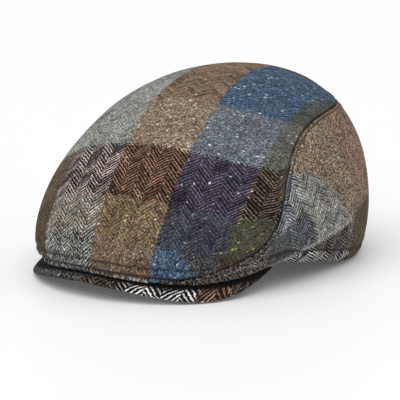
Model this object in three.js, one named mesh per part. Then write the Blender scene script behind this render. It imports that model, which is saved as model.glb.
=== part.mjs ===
// Flat cap (ivy cap) of tweed: a top panel that runs from the peak over the crown, two side panels
// that meet behind, and a bent peak under the crown's front.
// Millimetres, +Z up. The wearer faces -Y and the wearer's left is +X. The origin is on the ground,
// under the middle of the cap's length.
import * as THREE from "three";

// ---- Driving dimensions ------------------------------------------------------------------------

const CLOTH = 2; // thickness of the crown's cloth wall
const SEAM_GAP = 0.4; // clearance between two panels along a seam
const REST_GAP = 0.3; // clearance between the crown's hem and the peak

// The hem is the crown's lower edge, an oval in plan.
const HEM = { frontY: -127.5, sideX: 90, sideY: -7.5, backY: 131.5 };

// Above the hem the cloth rolls outwards by this much before it rises. The roll lies on the peak in
// front and on the ground behind, lifted by a little.
const ROLL = { front: 3.7, side: 6, back: 9, lift: 0.8 };

// Control sections of the crown above the roll, each an oval with its own height in front, at the
// sides and behind. The cloth is drawn towards them and doesn't pass through them.
const SECTIONS = [
  { name: "bulge", frontY: -145.5, frontZ: 25, sideX: 108, sideY: 5.5, sideZ: 38, backY: 135, backZ: 48 },
  { name: "slope", frontY: -115.5, frontZ: 80, sideX: 90, sideY: 15.5, sideZ: 85, backY: 133.5, backZ: 90 },
  { name: "shoulder", frontY: -64.5, frontZ: 123, sideX: 68.5, sideY: 21, sideZ: 116.5, backY: 113.5, backZ: 122 },
  { name: "dome", frontY: -17.5, frontZ: 139, sideX: 34, sideY: 25.5, sideZ: 140, backY: 70.5, backZ: 140.5 },
];
const SUMMIT = { y: 27, z: 140.5 };
const OVAL_POWER = 2.2; // 2 is an ellipse, more is squarer

// The rim's height: level with the peak in front, raised over the ears, and pressed flat on the
// ground behind.
const RIM = { earY: -36.5, earZ: 16, groundY: 92.5, blendLength: 20, press: 1.6 };

// The peak is a board bent across its width, sloping down to the front, with its ears drooping.
const PEAK = { thickness: 4, frontY: -134.5, frontZ: 15.4, slope: 0.43, bendRadius: 111, backY: -72.5 };
const EAR_DROOP = { startY: -76.5, rate: 0.0022 };

// How far the peak stands out past the hem, by the angle round the head from straight ahead.
const PEAK_OVERHANG = [
  { angle: 0, reach: 10 },
  { angle: 22, reach: 10 },
  { angle: 44, reach: 11.5 },
  { angle: 58, reach: 9.5 },
  { angle: 68, reach: 5.5 },
  { angle: 77, reach: 1 },
];

// The seam between the top panel and a side panel: the angle round the head from straight ahead, and
// the share of the way from the hem (0) to the summit (1).
const SEAM = [
  { angle: 20, rise: 0 },
  { angle: 32, rise: 0.07 },
  { angle: 44, rise: 0.12 },
  { angle: 56, rise: 0.165 },
  { angle: 66, rise: 0.215 },
  { angle: 71, rise: 0.285 },
  { angle: 74, rise: 0.38 },
  { angle: 77, rise: 0.49 },
  { angle: 82, rise: 0.585 },
  { angle: 91, rise: 0.655 },
  { angle: 106, rise: 0.69 },
  { angle: 134, rise: 0.685 },
  { angle: 180, rise: 0.66 },
];
const SIDE_TIP_ANGLE = 25; // where a side panel ends in front, a few millimetres high

// Fineness of the faceted solids. Columns are counted on one side of the cap.
const FRONT_COLUMNS = 7;
const SEAM_COLUMNS = 38;
const TOP_ROWS = 16;
const SIDE_ROWS = 12;
const ROW_BIAS = 1.25; // above 1, rows lie closer together at a panel's lower edge
const PEAK_COLUMNS = 40;
const PEAK_ROWS = 5;

// ---- Shape formulas ----------------------------------------------------------------------------

const radians = THREE.MathUtils.degToRad;
const signedPower = (value, power) => Math.sign(value) * Math.abs(value) ** power;

// Height of the peak's upper face.
function peakHeight(x, y) {
  const board = PEAK.frontZ + PEAK.slope * (y - PEAK.frontY) - (x * x) / (2 * PEAK.bendRadius);
  return board - EAR_DROOP.rate * Math.max(0, y - EAR_DROOP.startY) ** 2;
}

// Height of the hem at a place on its plan outline.
function hemHeight(x, y) {
  const onPeak = peakHeight(x, y) + REST_GAP;
  const behind = THREE.MathUtils.lerp(RIM.earZ, -RIM.press, THREE.MathUtils.smoothstep(y, RIM.earY, RIM.groundY));
  const share = THREE.MathUtils.smoothstep(y, RIM.earY, RIM.earY + RIM.blendLength);
  return onPeak * (1 - share) + behind * share;
}

// A point of an oval section in plan, at an angle in degrees from straight ahead towards the left ear.
function ovalPlan(section, angle) {
  const lateral = signedPower(Math.sin(radians(angle)), 2 / OVAL_POWER);
  const cosine = Math.cos(radians(angle));
  const along = Math.abs(cosine) ** (2 / OVAL_POWER);
  const endY = cosine > 0 ? section.frontY : section.backY;
  return new THREE.Vector2(section.sideX * lateral, section.sideY + (endY - section.sideY) * along);
}

// The control points of the crown's wall at one angle, from the hem to the summit.
function wallControls(angle) {
  const hem = ovalPlan(HEM, angle);
  const rollSection = {
    frontY: HEM.frontY - ROLL.front,
    sideX: HEM.sideX + ROLL.side,
    sideY: HEM.sideY,
    backY: HEM.backY + ROLL.back,
  };
  const roll = ovalPlan(rollSection, angle);
  const controls = [
    new THREE.Vector3(hem.x, hem.y, hemHeight(hem.x, hem.y)),
    new THREE.Vector3(roll.x, roll.y, hemHeight(roll.x, roll.y) + ROLL.lift),
  ];
  const cosine = Math.cos(radians(angle));
  for (const section of SECTIONS) {
    const plan = ovalPlan(section, angle);
    const endZ = cosine > 0 ? section.frontZ : section.backZ;
    controls.push(new THREE.Vector3(plan.x, plan.y, section.sideZ + (endZ - section.sideZ) * cosine * cosine));
  }
  controls.push(new THREE.Vector3(0, SUMMIT.y, SUMMIT.z));
  return controls;
}

// Weights of a clamped, uniform cubic B-spline over `count` control points at a share from 0 to 1.
function splineWeights(share, count) {
  const degree = 3;
  const spans = count - degree;
  const knots = Array.from({ length: count + degree + 1 }, (_, i) =>
    THREE.MathUtils.clamp((i - degree) / spans, 0, 1),
  );
  const at = Math.min(Math.max(share, 0), 1 - 1e-9);
  let weights = knots.slice(0, -1).map((knot, i) => (at >= knot && at < knots[i + 1] ? 1 : 0));
  for (let d = 1; d <= degree; d++) {
    weights = weights.slice(0, -1).map((weight, i) => {
      const rising = knots[i + d] - knots[i];
      const falling = knots[i + d + 1] - knots[i + 1];
      const left = rising > 0 ? ((at - knots[i]) / rising) * weight : 0;
      const right = falling > 0 ? ((knots[i + d + 1] - at) / falling) * weights[i + 1] : 0;
      return left + right;
    });
  }
  return weights;
}

// A point of the crown's outer face, before it is pressed flat on the ground.
function freePoint(angle, rise) {
  const controls = wallControls(angle);
  const weights = splineWeights(rise, controls.length);
  return controls.reduce((sum, control, i) => sum.addScaledVector(control, weights[i]), new THREE.Vector3());
}

// The unit vector that points out of the crown.
function outward(angle, rise) {
  if (rise > 0.999) return new THREE.Vector3(0, 0, 1);
  const step = 0.002;
  const low = Math.max(rise - step, 0);
  const round = freePoint(angle + 0.2, rise).sub(freePoint(angle - 0.2, rise));
  const up = freePoint(angle, rise + step).sub(freePoint(angle, low));
  return round.cross(up).normalize();
}

// A point of the crown's wall, some depth in from its outer face. The ground presses the rim flat.
function wallPoint(angle, rise, depth) {
  const point = freePoint(angle, rise).addScaledVector(outward(angle, rise), -depth);
  point.z = Math.max(point.z, depth);
  return point;
}

// A smooth curve through a table's rows, as a function from the angle to another column's value.
function smoothTable(rows, column) {
  const curve = new THREE.SplineCurve(rows.map((row) => new THREE.Vector2(row.angle, row[column])));
  const halvings = 40;
  return (angle) => {
    let low = 0;
    let high = 1;
    for (let i = 0; i < halvings; i++) {
      const middle = (low + high) / 2;
      if (curve.getPoint(middle).x < Math.abs(angle)) low = middle;
      else high = middle;
    }
    return curve.getPoint(low).y;
  };
}

const seamTable = smoothTable(SEAM, "rise");
const seamRise = (angle) => (Math.abs(angle) <= SEAM[0].angle ? 0 : seamTable(angle));
const peakReach = smoothTable(PEAK_OVERHANG, "reach");

// Half the seam's clearance as a share of the rise, at one place of the seam. A steep seam runs
// nearly along the rise, so the clearance is measured square to it.
function halfGapRise(angle, rise) {
  if (rise <= 0) return 0;
  const step = 0.01;
  const up = freePoint(angle, rise + step).distanceTo(freePoint(angle, rise)) / step;
  const turn = 0.5;
  const ahead = freePoint(angle + turn, seamRise(angle + turn));
  const behind = freePoint(angle - turn, seamRise(angle - turn));
  const along = ahead.sub(behind).normalize();
  const rising = freePoint(angle, rise + step).sub(freePoint(angle, rise)).normalize();
  const across = Math.sqrt(Math.max(1 - along.dot(rising) ** 2, 0.01));
  return SEAM_GAP / 2 / (up * across);
}

// Angles of a run of columns, evenly spaced along the top panel's edge.
function columnAngles(startAngle, endAngle, count) {
  const fine = 720;
  const angles = Array.from({ length: fine + 1 }, (_, i) => startAngle + ((endAngle - startAngle) * i) / fine);
  const edge = angles.map((angle) => freePoint(angle, seamRise(angle)));
  const lengths = [0];
  for (let i = 1; i <= fine; i++) lengths.push(lengths[i - 1] + edge[i].distanceTo(edge[i - 1]));
  return Array.from({ length: count + 1 }, (_, k) => {
    const target = (lengths[fine] * k) / count;
    const i = Math.max(1, lengths.findIndex((length) => length >= target - 1e-9));
    const share = (target - lengths[i - 1]) / (lengths[i] - lengths[i - 1]);
    return THREE.MathUtils.lerp(angles[i - 1], angles[i], share);
  });
}

// The columns that the top panel and a side panel share along their seam.
const seamAngles = columnAngles(SIDE_TIP_ANGLE, 180, SEAM_COLUMNS);

// The angle of a side panel's back edge, half the seam's clearance short of the middle.
function backSeamAngle() {
  let angle = 180;
  while (ovalPlan(HEM, angle).x < SEAM_GAP / 2) angle -= 0.01;
  return angle;
}

// ---- Closed solids from grids ------------------------------------------------------------------

// A closed solid between an outer and an inner grid of points, both as rows of columns. Going round
// its columns, then up its rows, the outer grid turns its face outwards. With `ring` the last column
// joins the first, and with `pole` the last row is one point.
function shellGeometry(outer, inner, { ring = false, pole = false } = {}) {
  const positions = [];
  const triangle = (a, b, c) => {
    if (a.equals(b) || b.equals(c) || c.equals(a)) return;
    positions.push(...a.toArray(), ...b.toArray(), ...c.toArray());
  };
  const quad = (a, b, c, d) => {
    if (a.distanceTo(c) <= b.distanceTo(d)) {
      triangle(a, b, c);
      triangle(a, c, d);
    } else {
      triangle(a, b, d);
      triangle(b, c, d);
    }
  };
  const rows = outer.length;
  const columns = outer[0].length;
  const last = ring ? columns : columns - 1;
  const next = (j) => (j + 1) % columns;
  for (let j = 0; j < last; j++) {
    for (let i = 0; i < rows - 1; i++) {
      quad(outer[i][j], outer[i][next(j)], outer[i + 1][next(j)], outer[i + 1][j]);
      quad(inner[i][j], inner[i + 1][j], inner[i + 1][next(j)], inner[i][next(j)]);
    }
    quad(inner[0][j], inner[0][next(j)], outer[0][next(j)], outer[0][j]);
    if (!pole) {
      const top = rows - 1;
      quad(outer[top][j], outer[top][next(j)], inner[top][next(j)], inner[top][j]);
    }
  }
  if (!ring) {
    const end = columns - 1;
    for (let i = 0; i < rows - 1; i++) {
      quad(outer[i][0], outer[i + 1][0], inner[i + 1][0], inner[i][0]);
      quad(inner[i][end], inner[i + 1][end], outer[i + 1][end], outer[i][end]);
    }
  }
  const geometry = new THREE.BufferGeometry();
  geometry.setAttribute("position", new THREE.Float32BufferAttribute(positions, 3));
  geometry.computeVertexNormals();
  return geometry;
}

// Rows of wall points: `spread` turns a row's share (0 to 1) and a column's angle into a rise.
function wallGrid(angles, rowCount, spread, depth) {
  return Array.from({ length: rowCount + 1 }, (_, i) =>
    angles.map((angle) => wallPoint(angle, spread((i / rowCount) ** ROW_BIAS, angle), depth)),
  );
}

// ---- Pieces ------------------------------------------------------------------------------------

// The top panel: from the hem in front and the seam elsewhere, up to the summit.
function topPanel() {
  const left = [...columnAngles(0, SIDE_TIP_ANGLE, FRONT_COLUMNS), ...seamAngles.slice(1)];
  const right = left.slice(1, -1).reverse().map((angle) => 360 - angle);
  const angles = [...left, ...right];
  const bearing = (angle) => (angle > 180 ? 360 - angle : angle);
  const spread = (share, angle) => {
    const seam = seamRise(bearing(angle));
    const start = seam + halfGapRise(bearing(angle), seam);
    return THREE.MathUtils.lerp(start, 1, share);
  };
  const outer = wallGrid(angles, TOP_ROWS, spread, 0);
  const inner = wallGrid(angles, TOP_ROWS, spread, CLOTH);
  return shellGeometry(outer, inner, { ring: true, pole: true });
}

// A side panel: from the hem up to the seam, from its tip over the peak to the seam behind.
function sidePanel(side) {
  const angles = [...seamAngles.slice(0, -1), backSeamAngle()];
  const spread = (share, angle) => {
    const seam = seamRise(angle);
    return share * (seam - halfGapRise(angle, seam));
  };
  const outer = wallGrid(angles, SIDE_ROWS, spread, 0);
  const inner = wallGrid(angles, SIDE_ROWS, spread, CLOTH);
  if (side > 0) return shellGeometry(outer, inner);
  const mirrored = (grid) => grid.map((row) => row.map((p) => new THREE.Vector3(-p.x, p.y, p.z)).reverse());
  return shellGeometry(mirrored(outer), mirrored(inner));
}

// The peak's outer edge in plan.
function peakEdge(angle) {
  const before = ovalPlan(HEM, angle - 0.1);
  const after = ovalPlan(HEM, angle + 0.1);
  const along = after.sub(before).normalize();
  const square = new THREE.Vector2(along.y, -along.x);
  return ovalPlan(HEM, angle).addScaledVector(square, peakReach(angle));
}

// The peak: a crescent board between the forehead's curve behind and its outer edge in front.
function peak() {
  const tipAngle = PEAK_OVERHANG.at(-1).angle;
  const tip = peakEdge(tipAngle);
  const backHalfWidth = tip.x - 3;
  const angles = Array.from({ length: PEAK_COLUMNS + 1 }, (_, j) => tipAngle * ((2 * j) / PEAK_COLUMNS - 1));
  const plan = (angle, share) => {
    const edge = peakEdge(angle);
    const across = signedPower(Math.sin((radians(90) * angle) / tipAngle), 1);
    const arch = Math.sqrt(Math.max(0, 1 - across * across));
    const back = new THREE.Vector2(backHalfWidth * across, tip.y + (PEAK.backY - tip.y) * arch);
    return edge.lerp(back, share);
  };
  const lift = (p, drop) => new THREE.Vector3(p.x, p.y, peakHeight(p.x, p.y) - drop);
  const rowShares = Array.from({ length: PEAK_ROWS + 1 }, (_, i) => (i / PEAK_ROWS) ** 1.3);
  const face = (drop) => rowShares.map((share) => angles.map((angle) => lift(plan(angle, share), drop)));
  return shellGeometry(face(0), face(PEAK.thickness));
}

// ---- Assembly ----------------------------------------------------------------------------------

const tweed = (colour) => new THREE.MeshStandardMaterial({ color: colour, roughness: 0.95, metalness: 0 });

function piece(name, geometry, colour) {
  const mesh = new THREE.Mesh(geometry, tweed(colour));
  mesh.name = name;
  return mesh;
}

const cap = new THREE.Group();
cap.name = "flat_cap";
cap.add(piece("crown_top", topPanel(), 0x6f675c));
cap.add(piece("side_panel_left", sidePanel(1), 0x7c6a58));
cap.add(piece("side_panel_right", sidePanel(-1), 0x7c6a58));
cap.add(piece("peak", peak(), 0x3b332e));

export default cap;
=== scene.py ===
"""Flat cap of woven tweed: a top panel, two side panels and a bent peak, dressed around the frame."""
import math

import bpy
import numpy as np
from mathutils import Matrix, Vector


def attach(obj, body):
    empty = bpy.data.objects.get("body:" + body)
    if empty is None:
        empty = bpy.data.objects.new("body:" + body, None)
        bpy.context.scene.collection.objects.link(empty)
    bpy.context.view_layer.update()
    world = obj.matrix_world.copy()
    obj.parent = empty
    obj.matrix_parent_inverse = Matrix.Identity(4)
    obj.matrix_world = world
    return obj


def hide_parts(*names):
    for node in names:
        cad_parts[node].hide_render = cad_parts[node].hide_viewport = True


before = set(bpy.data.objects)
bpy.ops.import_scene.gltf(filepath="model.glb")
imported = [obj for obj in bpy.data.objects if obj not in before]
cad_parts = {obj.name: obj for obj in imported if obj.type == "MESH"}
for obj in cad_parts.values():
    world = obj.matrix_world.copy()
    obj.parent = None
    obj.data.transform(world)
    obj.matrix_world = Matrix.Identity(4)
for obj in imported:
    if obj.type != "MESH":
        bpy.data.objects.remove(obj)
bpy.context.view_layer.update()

# ---- The part's own dimensions, in millimetres ----

CLOTH = 2.0  # thickness of the crown's cloth wall
REST_GAP = 0.3  # clearance between the crown's hem and the peak
HEM = {"front_y": -127.5, "side_x": 90, "side_y": -7.5, "back_y": 131.5}
ROLL = {"front": 3.7, "side": 6, "back": 9, "lift": 0.8}
ROLL_OVAL = {
    "front_y": HEM["front_y"] - ROLL["front"],
    "side_x": HEM["side_x"] + ROLL["side"],
    "side_y": HEM["side_y"],
    "back_y": HEM["back_y"] + ROLL["back"],
}
# The crown's control sections above the roll, from the hem to the summit.
SECTION_SIZES = ("front_y", "front_z", "side_x", "side_y", "side_z", "back_y", "back_z")
SECTIONS = [
    dict(zip(SECTION_SIZES, sizes))
    for sizes in [
        (-145.5, 25, 108, 5.5, 38, 135, 48),
        (-115.5, 80, 90, 15.5, 85, 133.5, 90),
        (-64.5, 123, 68.5, 21, 116.5, 113.5, 122),
        (-17.5, 139, 34, 25.5, 140, 70.5, 140.5),
    ]
]
SUMMIT = {"y": 27, "z": 140.5}
OVAL_POWER = 2.2
RIM = {"ear_y": -36.5, "ear_z": 16, "ground_y": 92.5, "blend": 20, "press": 1.6}
PEAK = {
    "thickness": 4, "front_y": -134.5, "front_z": 15.4, "slope": 0.43, "bend_radius": 111, "back_y": -72.5,
}
EAR_DROOP = {"start_y": -76.5, "rate": 0.0022}
# The angle round the head from straight ahead, and how far the peak stands out past the hem there.
PEAK_OVERHANG = [(0, 10), (22, 10), (44, 11.5), (58, 9.5), (68, 5.5), (77, 1)]
# The same angle, and the seam's share there of the way from the hem to the summit.
SEAM = [
    (20, 0), (32, 0.07), (44, 0.12), (56, 0.165), (66, 0.215), (71, 0.285), (74, 0.38), (77, 0.49),
    (82, 0.585), (91, 0.655), (106, 0.69), (134, 0.685), (180, 0.66),
]
SIDE_TIP_ANGLE = 25  # where a side panel ends in front

MM = 0.001
CHUNK = 4000  # points handled at once, to spare memory


# ---- Shape formulas ----

def signed_power(value, power):
    return np.sign(value) * np.abs(value) ** power


def smooth_step(share):
    share = np.clip(share, 0, 1)
    return share * share * (3 - 2 * share)


def peak_height(x, y):
    board = PEAK["front_z"] + PEAK["slope"] * (y - PEAK["front_y"]) - x * x / (2 * PEAK["bend_radius"])
    return board - EAR_DROOP["rate"] * np.maximum(0, y - EAR_DROOP["start_y"]) ** 2


def hem_height(x, y):
    on_peak = peak_height(x, y) + REST_GAP
    fall = smooth_step((y - RIM["ear_y"]) / (RIM["ground_y"] - RIM["ear_y"]))
    behind = RIM["ear_z"] - (RIM["ear_z"] + RIM["press"]) * fall
    share = smooth_step((y - RIM["ear_y"]) / RIM["blend"])
    return on_peak * (1 - share) + behind * share


def oval_plan(section, angle):
    """A section's oval in plan. The angle is in degrees from straight ahead towards the left ear."""
    turn = np.radians(angle)
    lateral = signed_power(np.sin(turn), 2 / OVAL_POWER)
    along = np.abs(np.cos(turn)) ** (2 / OVAL_POWER)
    end_y = np.where(np.cos(turn) > 0, section["front_y"], section["back_y"])
    return section["side_x"] * lateral, section["side_y"] + (end_y - section["side_y"]) * along


def wall_controls(angle):
    """The control points of the crown's wall at an angle, from the hem to the summit."""
    controls = []
    for oval, lift in ((HEM, 0), (ROLL_OVAL, ROLL["lift"])):
        x, y = oval_plan(oval, angle)
        controls.append(np.stack([x, y, hem_height(x, y) + lift], -1))
    cosine = np.cos(np.radians(angle))
    for section in SECTIONS:
        x, y = oval_plan(section, angle)
        end_z = np.where(cosine > 0, section["front_z"], section["back_z"])
        controls.append(np.stack([x, y, section["side_z"] + (end_z - section["side_z"]) * cosine**2], -1))
    controls.append(np.stack([0 * angle, SUMMIT["y"] + 0 * angle, SUMMIT["z"] + 0 * angle], -1))
    return np.stack(controls)


def spline_weights(share, count):
    """Weights of a clamped, uniform cubic B-spline over `count` control points."""
    degree = 3
    knots = np.clip((np.arange(count + degree + 1) - degree) / (count - degree), 0, 1)
    share = np.clip(share, 0, 1 - 1e-9)
    weights = [((share >= knots[i]) & (share < knots[i + 1])).astype(float) for i in range(count + degree)]
    for d in range(1, degree + 1):
        raised = []
        for i in range(len(weights) - 1):
            rising = knots[i + d] - knots[i]
            falling = knots[i + d + 1] - knots[i + 1]
            left = (share - knots[i]) / rising * weights[i] if rising else 0 * share
            right = (knots[i + d + 1] - share) / falling * weights[i + 1] if falling else 0 * share
            raised.append(left + right)
        weights = raised
    return np.stack(weights)


def free_point(angle, rise):
    """The crown's outer face before the ground presses it, at a share of the rise to the summit."""
    angle, rise = np.broadcast_arrays(np.asarray(angle, float), np.asarray(rise, float))
    controls = wall_controls(angle)
    return np.einsum("k...,k...c->...c", spline_weights(rise, len(controls)), controls)


def unit(vectors):
    return vectors / np.maximum(np.linalg.norm(vectors, axis=-1, keepdims=True), 1e-12)


def outward(angle, rise):
    """The directions out of the wall, brought to straight up at the summit."""
    angle, rise = np.broadcast_arrays(np.asarray(angle, float), np.asarray(rise, float))
    turn = 0.2
    step = 0.002
    highest = 0.997
    upright_from = 0.99
    upright_over = 0.009
    low = np.minimum(rise, highest)
    around = free_point(angle + turn, low) - free_point(angle - turn, low)
    up = free_point(angle, low + step) - free_point(angle, np.maximum(low - step, 0))
    share = smooth_step((rise - upright_from) / upright_over)[..., None]
    return unit(unit(np.cross(around, up)) * (1 - share) + np.array([0, 0, 1.0]) * share)


def catmull_rom(p0, p1, p2, p3, share):
    """A place between p1 and p2 on the smooth curve through four points."""
    v0, v1 = (p2 - p0) / 2, (p3 - p1) / 2
    cubed = 2 * p1 - 2 * p2 + v0 + v1
    squared = 3 * p2 - 3 * p1 - 2 * v0 - v1
    return cubed * share**3 + squared * share**2 + v0 * share + p1


def smooth_table(rows):
    """A smooth curve through a table's rows, as a function from the angle to the second column."""
    table = np.array(rows, float)
    last = len(table) - 1
    at = np.linspace(0, last, 4001)
    i = np.minimum(at.astype(int), last)
    share = (at - i)[:, None]

    def row(k):
        return table[np.clip(k, 0, last)]

    curve = catmull_rom(row(i - 1), row(i), row(i + 1), row(i + 2), share)
    return lambda angle: np.interp(np.abs(angle), curve[:, 0], curve[:, 1])


seam_table = smooth_table(SEAM)
peak_reach = smooth_table(PEAK_OVERHANG)


def seam_rise(angle):
    return np.where(np.abs(angle) <= SEAM[0][0], 0, seam_table(angle))


def bearing(angle):
    """An angle brought to -180…180."""
    return (np.asarray(angle, float) + 180) % 360 - 180


def running_length(line):
    """How far along a polyline each of its points lies."""
    return np.concatenate([[0], np.cumsum(np.linalg.norm(np.diff(line, axis=0), axis=1))])


def column_angles(start, end, count):
    """Angles of a run of columns, evenly spaced along the top panel's edge."""
    fine = np.linspace(start, end, 2001)
    length = running_length(free_point(fine, seam_rise(fine)))
    return np.interp(np.linspace(0, length[-1], count + 1), length, fine)


def distance_to(points, line):
    """Each point's distance to the nearest place on a polyline."""
    flat = points.reshape(-1, points.shape[-1])
    start = line[:-1]
    run = line[1:] - start
    square = np.maximum((run**2).sum(1), 1e-12)
    found = np.empty(len(flat))
    for at in range(0, len(flat), CHUNK):
        offset = flat[at:at + CHUNK, None] - start
        share = np.clip((offset * run).sum(2) / square, 0, 1)
        found[at:at + CHUNK] = np.sqrt(((offset - share[..., None] * run) ** 2).sum(2).min(1))
    return found.reshape(points.shape[:-1])


# ---- Meshes from grids ----

def add_object(name, data):
    made = bpy.data.objects.new(name, data)
    bpy.context.scene.collection.objects.link(made)
    return made


def mesh_object(name, points, faces, layers, material, node):
    """A smooth mesh in the row frame. `points` are in millimetres; `layers` are vector layers."""
    mesh = bpy.data.meshes.new(name)
    mesh.from_pydata((points.reshape(-1, 3) * MM).tolist(), [], faces)
    for layer, values in layers.items():
        attribute = mesh.attributes.new(layer, "FLOAT_VECTOR", "POINT")
        attribute.data.foreach_set("vector", np.ascontiguousarray(values, np.float32).ravel())
    mesh.shade_smooth()
    mesh.materials.append(material)
    piece = add_object(name, mesh)
    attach(piece, "root")
    if node:
        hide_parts(node)


def grid_faces(rows, columns, ring, flip=False, first=0):
    """Quads of a grid of vertices stored row by row."""
    faces = []
    count = columns if ring else columns - 1
    for i in range(rows - 1):
        low = first + i * columns
        high = low + columns
        for j in range(count):
            k = (j + 1) % columns
            quad = (low + j, low + k, high + k, high + j)
            faces.append(quad[::-1] if flip else quad)
    return faces


def tube_rows(outer, inner):
    """Rows of two grids that share their first and last rows, as one closed round."""
    return np.concatenate([outer, inner[-2:0:-1]])


def tube_faces(rows, columns):
    """Faces of a closed shell whose outer and inner grids have `rows` rows each. The first and last
    columns are closed by end walls."""
    around = 2 * rows - 2
    faces = grid_faces(around, columns, False)
    top = (around - 1) * columns
    faces += [(top + j, top + j + 1, j + 1, j) for j in range(columns - 1)]

    def at(row):
        return (row % around) * columns

    for i in range(rows - 1):
        wall = (at(i), at(i + 1), at(-i - 1), at(-i))
        for corners in (wall, tuple(v + columns - 1 for v in wall[::-1])):
            corners = tuple(dict.fromkeys(corners))
            if len(corners) > 2:
                faces.append(corners)
    return faces


def dome_faces(rows, columns, inner_rows):
    """Faces of a closed shell round a pole: the outer grid, the inner grid without its first row,
    which is the outer grid's, then the outer and the inner pole."""
    faces = grid_faces(rows, columns, True)
    lining = rows * columns
    faces += grid_faces(inner_rows - 1, columns, True, flip=True, first=lining)
    top = lining - columns
    lining_top = lining + (inner_rows - 2) * columns
    pole = lining_top + columns
    for j in range(columns):
        k = (j + 1) % columns
        faces.append((k, j, lining + j, lining + k))
        faces.append((top + j, top + k, pole))
        faces.append((lining_top + k, lining_top + j, pole + 1))
    return faces


# ---- Cloth coordinates ----

def grid_triangles(rows, columns, ring):
    faces = np.array(grid_faces(rows, columns, ring))
    return np.concatenate([faces[:, [0, 1, 2]], faces[:, [0, 2, 3]]])


def flatten(points, triangles, start, rounds):
    """Unrolls a curved sheet onto the plane with as little stretch as it can (as rigid as possible)."""
    corners = points[triangles]
    run, side = corners[:, 1] - corners[:, 0], corners[:, 2] - corners[:, 0]
    area = np.linalg.norm(np.cross(run, side), axis=1)
    keep = area > 1e-6
    triangles, run, side = triangles[keep], run[keep], side[keep]
    x_axis = unit(run)
    y_axis = np.cross(unit(np.cross(run, side)), x_axis)
    local = np.zeros((len(triangles), 3, 2))
    local[:, 1, 0] = np.linalg.norm(run, axis=1)
    local[:, 2, 0] = (side * x_axis).sum(1)
    local[:, 2, 1] = (side * y_axis).sum(1)
    edges = [(1, 2, 0), (2, 0, 1), (0, 1, 2)]
    # Each edge counts by the cotangent of the angle across from it.
    weights = []
    for a, b, opposite in edges:
        p, q = local[:, a] - local[:, opposite], local[:, b] - local[:, opposite]
        weights.append(np.clip((p * q).sum(1) / np.abs(p[:, 0] * q[:, 1] - p[:, 1] * q[:, 0]), 0.01, 20))
    count = len(points)
    matrix = 1e-9 * np.eye(count)
    for (a, b, _), weight in zip(edges, weights):
        i, j = triangles[:, a], triangles[:, b]
        for row, column, sign in ((i, i, 1), (j, j, 1), (i, j, -1), (j, i, -1)):
            np.add.at(matrix, (row, column), sign * weight)
    matrix[0] = 0
    matrix[0, 0] = 1
    inverse = np.linalg.inv(matrix)
    flat = start.copy()
    # A round turns every triangle to where it fits best, then finds the points that suit them all.
    for _ in range(rounds):
        placed = flat[triangles]
        covariance = np.zeros((len(triangles), 2, 2))
        for (a, b, _), weight in zip(edges, weights):
            was, now = local[:, a] - local[:, b], placed[:, a] - placed[:, b]
            covariance += weight[:, None, None] * np.einsum("ki,kj->kij", now, was)
        cosine = covariance[:, 0, 0] + covariance[:, 1, 1]
        sine = covariance[:, 1, 0] - covariance[:, 0, 1]
        length = np.hypot(cosine, sine) + 1e-12
        cosine, sine = cosine / length, sine / length
        pull = np.zeros((count, 2))
        for (a, b, _), weight in zip(edges, weights):
            x, y = (local[:, a] - local[:, b]).T
            turned = np.stack([cosine * x - sine * y, sine * x + cosine * y], 1) * weight[:, None]
            np.add.at(pull, triangles[:, a], turned)
            np.add.at(pull, triangles[:, b], -turned)
        pull[0] = flat[0]
        flat = inverse @ pull
    return flat


def cubic_lookup(values, at, wrap):
    """Catmull-Rom interpolation along the first axis of `values`, at fractional indices."""
    count = len(values)
    i = np.floor(at).astype(int)
    if not wrap:
        i = np.clip(i, 0, count - 2)
    share = (at - i)[:, None, None]

    def row(k):
        if wrap:
            return values[k % count]
        inside = np.clip(k, 0, count - 1)
        slope = np.where((k < 0)[:, None, None], values[1] - values[0], values[-1] - values[-2])
        return values[inside] + (k - inside)[:, None, None] * slope

    return catmull_rom(row(i - 1), row(i), row(i + 1), row(i + 2), share)


def grid_lookup(grid, row_at, column_at, wrap):
    """Interpolates a grid at fractional rows and columns, each a list of its own."""
    rows = cubic_lookup(grid, row_at, False)
    return cubic_lookup(rows.transpose(1, 0, 2), column_at, wrap).transpose(1, 0, 2)


# ---- Tweed ----

# Yarns, as sRGB colours out of 255.
YARNS = {
    "black": (14, 13, 13),
    "ink": (34, 28, 42),
    "peat": (38, 25, 18),
    "umber": (58, 46, 36),
    "bark": (78, 64, 52),
    "cocoa": (98, 80, 64),
    "maroon": (46, 23, 16),
    "fawn": (150, 118, 97),
    "hazel": (128, 110, 92),
    "pewter": (92, 90, 86),
    "camel": (152, 128, 108),
    "sand": (176, 158, 136),
    "oat": (196, 186, 168),
    "rose": (182, 168, 164),
    "mauve": (150, 138, 132),
    "rosy": (178, 146, 128),
    "khaki": (96, 88, 64),
    "gold": (156, 134, 98),
    "straw": (190, 170, 90),
    "night": (40, 41, 50),
    "graphite": (46, 45, 47),
    "iron": (72, 71, 68),
    "dove": (88, 90, 99),
    "stone": (106, 106, 101),
    "silver": (176, 176, 170),
    "chalk": (212, 210, 206),
    "sage": (124, 127, 114),
    "fir": (50, 58, 56),
    "navy": (36, 54, 76),
    "sky": (104, 128, 152),
    "slate": (70, 77, 86),
    "mist": (137, 142, 148),
    "lilac": (99, 92, 109),
}

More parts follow.
